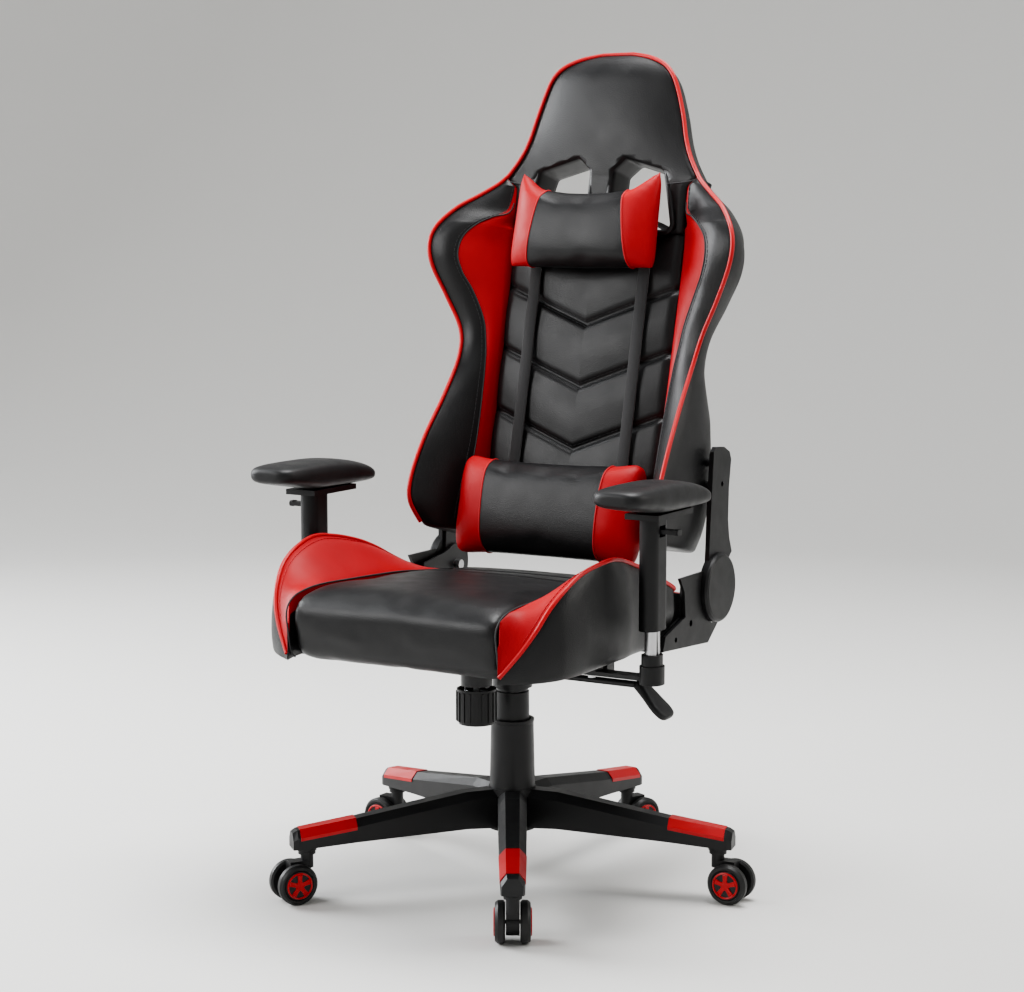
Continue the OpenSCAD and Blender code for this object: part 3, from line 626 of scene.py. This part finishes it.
verts = []
for j in range(NS + 1):
    for i in range(NX + 1):
        x, s = panel_point(i, j)
        verts.append(back((x, quilt(x, s), s)))
faces = [(j * (NX + 1) + i, j * (NX + 1) + i + 1, (j + 1) * (NX + 1) + i + 1, (j + 1) * (NX + 1) + i)
         for j in range(NS) for i in range(NX)]
border = list(range(NX + 1)) + [j * (NX + 1) + NX for j in range(1, NS + 1)] + [
    NS * (NX + 1) + i for i in range(NX - 1, -1, -1)] + [j * (NX + 1) for j in range(NS - 1, 0, -1)]
first = len(verts)
for b in border:
    x, s = panel_point(b % (NX + 1), b // (NX + 1))
    verts.append(back((x, DEPTH, s)))
m = len(border)
faces += [(border[k], border[(k + 1) % m], first + (k + 1) % m, first + k) for k in range(m)]
faces.append(tuple(range(first, first + m)))
panel = build("back_panel", verts, faces, [BLACK])
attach(panel, "back")
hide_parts("back_center")
for k, tip in enumerate(TIPS[:4]):
    for off in (-4.2, 4.2):
        path = []
        for i in range(61):
            x = mix(-148, 148, i / 60)
            s = tip + RISE * abs(x) + off
            path.append(back((x, quilt(x, s) - 0.3, s)))
        stitches(f"quilt_stitch_{k}_{'up' if off > 0 else 'low'}", path, THREAD, "back", radius=0.0005)

# harness straps: depth and height up the front, over the hole's edge and down the rear
STRAP_ROUTE = [(-14.0, -165), (-14.5, -60), (-14.2, 60), (-14.0, 200), (-14.5, 300),
               (-14.2, 324), (-10, 337), (0, 341), (30, 342), (48, 341), (52, 336), (51, 320),
               (49.6, 200), (49.4, 60), (49.2, -150)]
STRAP_SECTION = [(-9.6, -0.5), (-9, -0.9), (9, -0.9), (9.6, -0.5),
                 (9.6, 0.5), (9, 0.9), (-9, 0.9), (-9.6, 0.5)]
STRAP_X = 95
for side, which in SIDES:
    rings = []
    fine = spline(STRAP_ROUTE, 5)
    for k, (d, s) in enumerate(fine):
        a, b = fine[max(k - 1, 0)], fine[min(k + 1, len(fine) - 1)]
        td, ts = b[0] - a[0], b[1] - a[1]
        long = math.hypot(td, ts)
        nd, ns = ts / long, -td / long
        rings.append([(side * STRAP_X + w, d + nd * h, s + ns * h) for w, h in STRAP_SECTION])
    strap = loft("harness_strap_" + which, rings, back, [WEB])
    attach(strap, "back")
    if which == "left":
        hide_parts("harness_straps")

# ---------------------------------------------------------------- pillows


def squared(t, e=0.8):
    return math.copysign(abs(t) ** e, t)


def pillow(name, ends, mid, body, planes, cap):
    half = [(-e[0], *e[1:]) for e in ends] + list(reversed(ends[:-1]))
    rings = []
    for x, depth, low, high, power in spline(half, 5):
        rings.append([(x, mid + depth * squared(math.cos(a), 0.8),
                       (low + high) / 2 + (high - low) / 2 * squared(math.sin(a), power))
                      for a in around(40)])
    obj = loft(name, rings, back, [BLACK])
    puff(obj, cap)
    cuts = [(back(p), (back(q) - back(p)).cross(back((0, 1, 0)) - back((0, 0, 0)))) for p, q in planes]
    centre = back((0, mid, (half[len(half) // 2][2] + half[len(half) // 2][3]) / 2))
    signs = [1 if (centre - p).dot(n) > 0 else -1 for p, n in cuts]
    for k, (p, n) in enumerate(cuts):
        loop, middle = seam_loop(obj, p, n)
        out = [middle + (q - middle) * 1.004 for q in loop]
        tube(f"{name}_seam_{k}", [out], 0.0013, THREAD_RED, body, closed=True)
    split(obj, [BLACK, RED], cuts,
          lambda c: 0 if all((c - p).dot(n) * s > 0 for (p, n), s in zip(cuts, signs)) else 1)
    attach(obj, body)
    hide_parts(name.replace("_soft", ""))
    return obj


# half width, half depth, bottom, top and roundness of the section
pillow("head_pillow_soft",
       [(129, 5, 252, 413, 0.5), (125, 11, 253, 411, 0.55), (114, 18, 254, 404, 0.65),
        (90, 25, 253, 393, 0.8), (60, 27, 252, 386, 0.85), (0, 27.5, 251, 383, 0.85)],
       -44, "head_pillow", [((68, 0, 398), (88, 0, 261)), ((-68, 0, 398), (-88, 0, 261))], 0.006)
pillow("lumbar_pillow_soft",
       [(158, 12, -192, -50, 0.6), (155, 22, -197, -45, 0.65), (143, 30, -200, -42, 0.72),
        (112, 34, -200, -43, 0.8), (0, 35, -200, -44, 0.8)],
       -55, "lumbar_pillow", [((103, 0, -41), (98, 0, -208)), ((-103, 0, -41), (-98, 0, -208))], 0.006)

# ---------------------------------------------------------------- the seat

SEAT_Z = 380  # underside of the foam
CUSHION_HALF = 170
# side outline of the cushion: distance and height
PROFILE = [(-320, 382), (-331, 394), (-337, 424), (-340, 448), (-330, 464), (-306, 473), (-257, 477),
           (-180, 474), (-100, 470), (-40, 466), (40, 457), (125, 448), (147, 439), (152, 425),
           (150, 394), (143, 382)]
profile = spline(PROFILE, 4)
rings = []
for x, k in [(-168.5, 9), (-167, 4), (-163, 1), (-150, 0), (-110, -1.5), (-55, -3), (0, -3.5),
             (55, -3), (110, -1.5), (150, 0), (163, 1), (167, 4), (168.5, 9)]:
    ring = []
    for y, z in profile:
        if k < 0:  # the middle is crowned
            ring.append((x, y, max(SEAT_Z + 1, z - k if z > 440 else z)))
        else:  # the sides pull in
            ring.append((x, y - math.copysign(k, y + 90), max(SEAT_Z + 1, z - math.copysign(k, z - 425))))
    rings.append(ring)
cushion = loft("seat_cushion_soft", rings, row, [BLACK])
puff(cushion, 0.005, pressure=3)
for v in cushion.data.vertices:
    v.co.z = max(v.co.z, 0.3802)
    v.co.x = max(-0.1699, min(0.1699, v.co.x))


def cross_seam(y0, bow):
    """Presses a sewn line across the top and returns its path."""
    def seam_y(x):
        return y0 + bow * (x / 0.17) ** 2

    path = {}
    for v in cushion.data.vertices:
        if v.co.z > 0.44:
            line = seam_y(v.co.x)
            v.co.z -= 0.0035 * math.exp(-((v.co.y - line) / 0.006) ** 2)
            if abs(v.co.y - line) < 0.004:
                path.setdefault(round(v.co.x / 0.006), []).append(v.co.copy())
    out = []
    for key in sorted(path):
        p = max(path[key], key=lambda q: q.z)
        height = sum(q.z for q in path[key]) / len(path[key])
        out.append(Vector((p.x, seam_y(p.x), height + 0.0006)))
    return out


for k, (y0, bow) in enumerate([(-0.030, -0.012), (0.040, -0.008)]):
    stitches(f"seat_stitch_{k}", cross_seam(y0, bow), THREAD, "seat")
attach(cushion, "seat")
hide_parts("seat_cushion")

SEAT_RIM = [(171, -337, 388), (180, -331, 400), (197, -320, 424), (212, -306, 451), (222, -288, 478),
            (231, -260, 502), (237, -220, 520), (244, -165, 529), (239, -120, 525), (231, -70, 513),
            (231, -20, 496), (233, 30, 475), (232, 72, 457), (222, 84, 449), (221, 148, 436)]
TOPS = PROFILE[4:13]
SEAT_FINE = spline(SEAT_RIM, 6)


def bolster_ring(p):
    x, y, z = p
    inner = CUSHION_HALF + 0.1
    top = max(432 if y < -332 else lookup(TOPS, 0, y)[1], SEAT_Z + 20)
    swell = min(1, (y + 337) / 60) * clamp((40 - y) / 50)
    out = min(x + 0.5 + 13 * swell, 249)
    tuck = min(out - 1, 220.5) if y > 12 else out - 1
    mid = (z + SEAT_Z) / 2
    red = spline([(inner, top - 6), (inner + 1.5, top + 1), (mix(inner, x, 0.4), mix(top, z, 0.45)),
                  (mix(inner, x, 0.78), mix(top, z, 0.86) + 1), (x, z)], 4)
    black = spline([(x, z), (mix(x, out, 0.62), mix(z, mid, 0.3)), (out, mid),
                    (tuck, mix(mid, SEAT_Z, 0.65)), (mix(tuck, inner, 0.15), SEAT_Z + 0.5),
                    (inner, SEAT_Z + 0.5)], 4)[1:]
    return [(a, y, b) for a, b in red + black], len(red) - 1


def bolster(name, side):
    made = [bolster_ring(p) for p in SEAT_FINE]
    reds = made[0][1]
    place = lambda p: row((side * p[0], p[1], p[2]))
    obj = loft(name, [m[0] for m in made], place, [BLACK, RED], lambda j, i: 1 if i < reds else 0)
    subdivide(obj, 1)
    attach(obj, "seat")
    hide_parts("seat_bolster_left" if side > 0 else "seat_bolster_right")
    tube(name + "_piping", [[place((p[0] + 0.6, p[1], p[2] + 0.9)) for p in SEAT_FINE[1:-8]]],
         0.0031, PIPE, "seat")
    line = [place(m[0][reds - 3]) + Vector((0, 0, 0.0006)) for m in made[14:-14]]
    stitches(name + "_stitches", line, THREAD_RED, "seat")
    corner = [place((169.6, y, z + 0.5)) for y, z in profile[:44]]
    tube(name + "_corner_seam", [corner], 0.0012, THREAD, "seat")


bolster("bolster_left_soft", 1)
bolster("bolster_right_soft", -1)

# ---------------------------------------------------------------- armrest pads

# distance, half width, underside and top
PAD = [(-228, 18, 616, 628), (-224, 28, 612, 633), (-212, 37, 609, 636), (-190, 41, 605, 637.5),
       (-160, 42.5, 600, 638), (-130, 42.5, 596, 638), (-90, 42, 595, 637), (-50, 41.5, 594.5, 633),
       (-15, 40, 594.5, 626), (5, 37, 595, 619), (17, 29, 597, 612), (22, 16, 600, 607)]
ARMREST_X = 285
for side, which in SIDES:
    rings = []
    for y, w, low, high in spline(PAD, 4):
        c, h = (low + high) / 2, (high - low) / 2
        rings.append([(side * ARMREST_X + w * squared(math.cos(a), 0.62), y,
                       c + h * squared(math.sin(a), 0.72)) for a in around(36)])
    pad = loft("armrest_pad_" + which, rings, row, [SOFT])
    subdivide(pad, 1)
    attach(pad, "armrest_" + which)
    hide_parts("arm_pad_" + which)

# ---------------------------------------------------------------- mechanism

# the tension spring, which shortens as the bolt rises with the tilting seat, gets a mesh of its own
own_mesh(frame["nodes"]["tilt_spring"])

# only the armrest uprights are bare steel; their bars are painted
for which in ("left", "right"):
    bracket = frame["nodes"]["arm_bracket_" + which]
    bracket.data.materials.append(DARK)
    for f in bracket.data.polygons:
        if (bracket.matrix_world @ f.center).z < 0.4:
            f.material_index = 1

# across, height, half thickness and half width
PADDLE = [(223, 334, 5, 5), (226, 332, 7.5, 9), (234, 327, 8.5, 12), (245, 317, 8, 16),
          (256, 306, 7.5, 20), (266, 297, 7, 21.5), (273, 290.5, 6, 18), (276, 288, 3.5, 11)]
PADDLE_Y = -30
rings = []
fine = spline(PADDLE, 4)
for k, (x, z, thick, wide) in enumerate(fine):
    a, b = fine[max(k - 1, 0)], fine[min(k + 1, len(fine) - 1)]
    slope = Vector((b[0] - a[0], 0, b[1] - a[1])).normalized()
    out = Vector((-slope.z, 0, slope.x))
    rings.append([Vector((x, PADDLE_Y, z)) + out * thick * squared(math.sin(g), 0.7)
                  + Vector((0, 1, 0)) * wide * squared(math.cos(g), 0.7)
                  for g in around(24)])
paddle = loft("gas_paddle", rings, row, [SOFT])
subdivide(paddle, 1)
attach(paddle, "gas_lever")
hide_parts("lever_paddle")

# ---------------------------------------------------------------- wheels

TRAIL = [120, 2, 65, 175, 238]  # heading of each caster, degrees
STEM_R, TRAIL_R, WHEEL_R = 318, 22, 30
SPOKE = [(6.5, -36), (8.2, -22), (17.2, -13), (17.4, 13), (8.2, 22)]  # radius, degrees
STAR_STEPS = [(1.0, 24.6), (1.0, 26.0), (0.93, 26.6)]  # share of the outline, distance out
CAP_RIM = [(17.0, 24.6), (17.2, 26.2), (18.4, 26.9), (19.8, 26.2), (20.0, 24.6)]
CAP_SIDES = 48


def wheel_caps(i):
    arm = math.radians(-60 + 72 * i)
    t = math.radians(TRAIL[i])
    centre = Vector((STEM_R * math.cos(arm) + TRAIL_R * math.cos(t),
                     STEM_R * math.sin(arm) + TRAIL_R * math.sin(t), WHEEL_R))
    u, axle = Vector((math.cos(t), math.sin(t), 0)), Vector((-math.sin(t), math.cos(t), 0))
    up = Vector((0, 0, 1))

    def place(p, side):
        return (centre + u * p[0] + up * p[1] + axle * side * p[2]) / 1000

    verts, faces = [], []
    for side in (1, -1):
        outline = []
        for k in range(5):
            a = math.radians(90 + 72 * k)
            for r, g in SPOKE:
                outline.append((r * math.cos(a + math.radians(g)), r * math.sin(a + math.radians(g))))
        first, n = len(verts), len(outline)
        for scale, h in STAR_STEPS:
            verts += [place((x * scale, z * scale, h), side) for x, z in outline]
        faces += bands(n, len(STAR_STEPS) - 1, first)
        faces.append(tuple(first + 2 * n + k for k in range(n)))
        faces += bands(CAP_SIDES, len(CAP_RIM) - 1, len(verts))
        for r, h in CAP_RIM:
            verts += [place((r * math.cos(a), r * math.sin(a), h), side) for a in around(CAP_SIDES)]
    cap = build(f"wheel_cap_{i + 1}", verts, faces, [RED_PLASTIC], smooth=False)
    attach(cap, f"wheels_{i + 1}")


for i in range(5):
    wheel_caps(i)

# ---------------------------------------------------------------- stage, light, camera

pale = Nodes("backdrop_pale")
pale.bsdf.inputs["Base Color"].default_value = (0.66, 0.655, 0.64, 1)
pale.bsdf.inputs["Roughness"].default_value = 0.9
pale.bsdf.inputs["Specular IOR Level"].default_value = 0.1
# radius and height of an all-round backdrop: flat floor, rounded corner, wall (m)
CORNER_R, FLOOR_R, BOWL_SIDES = 2.5, 3.5, 96
BOWL = [(0.01, 0), (1.5, 0), (FLOOR_R, 0)]
for k in range(1, 13):
    a = math.pi * k / 24
    BOWL.append((FLOOR_R + CORNER_R * math.sin(a), CORNER_R - CORNER_R * math.cos(a)))
BOWL.append((FLOOR_R + CORNER_R, 6))
bowl = build("backdrop",
             [Vector((r * math.cos(a), r * math.sin(a), z)) for r, z in BOWL for a in around(BOWL_SIDES)],
             [tuple(range(BOWL_SIDES))] + bands(BOWL_SIDES, len(BOWL) - 1), [pale.mat])

bpy.context.scene.view_settings.look = "AgX - Medium High Contrast"
world = bpy.data.worlds.new("studio")
world.use_nodes = True
world.node_tree.nodes["Background"].inputs["Color"].default_value = (0.97, 0.98, 1.0, 1)
world.node_tree.nodes["Background"].inputs["Strength"].default_value = 0.34
bpy.context.scene.world = world


def light(name, at, target, size, power, color=(1, 1, 1)):
    data = bpy.data.lights.new(name, "AREA")
    data.shape = "RECTANGLE"
    data.size, data.size_y = size
    data.energy = power
    data.color = color
    obj = bpy.data.objects.new(name, data)
    bpy.context.scene.collection.objects.link(obj)
    obj.location = at
    obj.rotation_euler = (Vector(target) - Vector(at)).to_track_quat("-Z", "Y").to_euler()


light("window", (-3.2, -0.4, 1.9), (0, 0, 0.7), (1.8, 2.4), 190, (0.96, 0.98, 1))
light("front", (-1.9, -2.9, 2.2), (0, 0, 0.7), (1.8, 1.8), 75)
light("top", (0.3, 0.4, 3.4), (0, 0, 0.5), (1.8, 1.8), 150)
light("rim", (2.9, 1.4, 1.9), (0, 0, 0.8), (0.9, 1.8), 30, (1, 0.97, 0.93))

camera = bpy.data.objects.new("camera", bpy.data.cameras.new("camera"))
bpy.context.scene.collection.objects.link(camera)
camera.location = (1.6285, -2.832, 0.9925)
camera.rotation_euler = (math.radians(82.93), 0, math.radians(29.91))
camera.data.lens = 77.84
camera.data.sensor_width = 36
bpy.context.scene.camera = camera
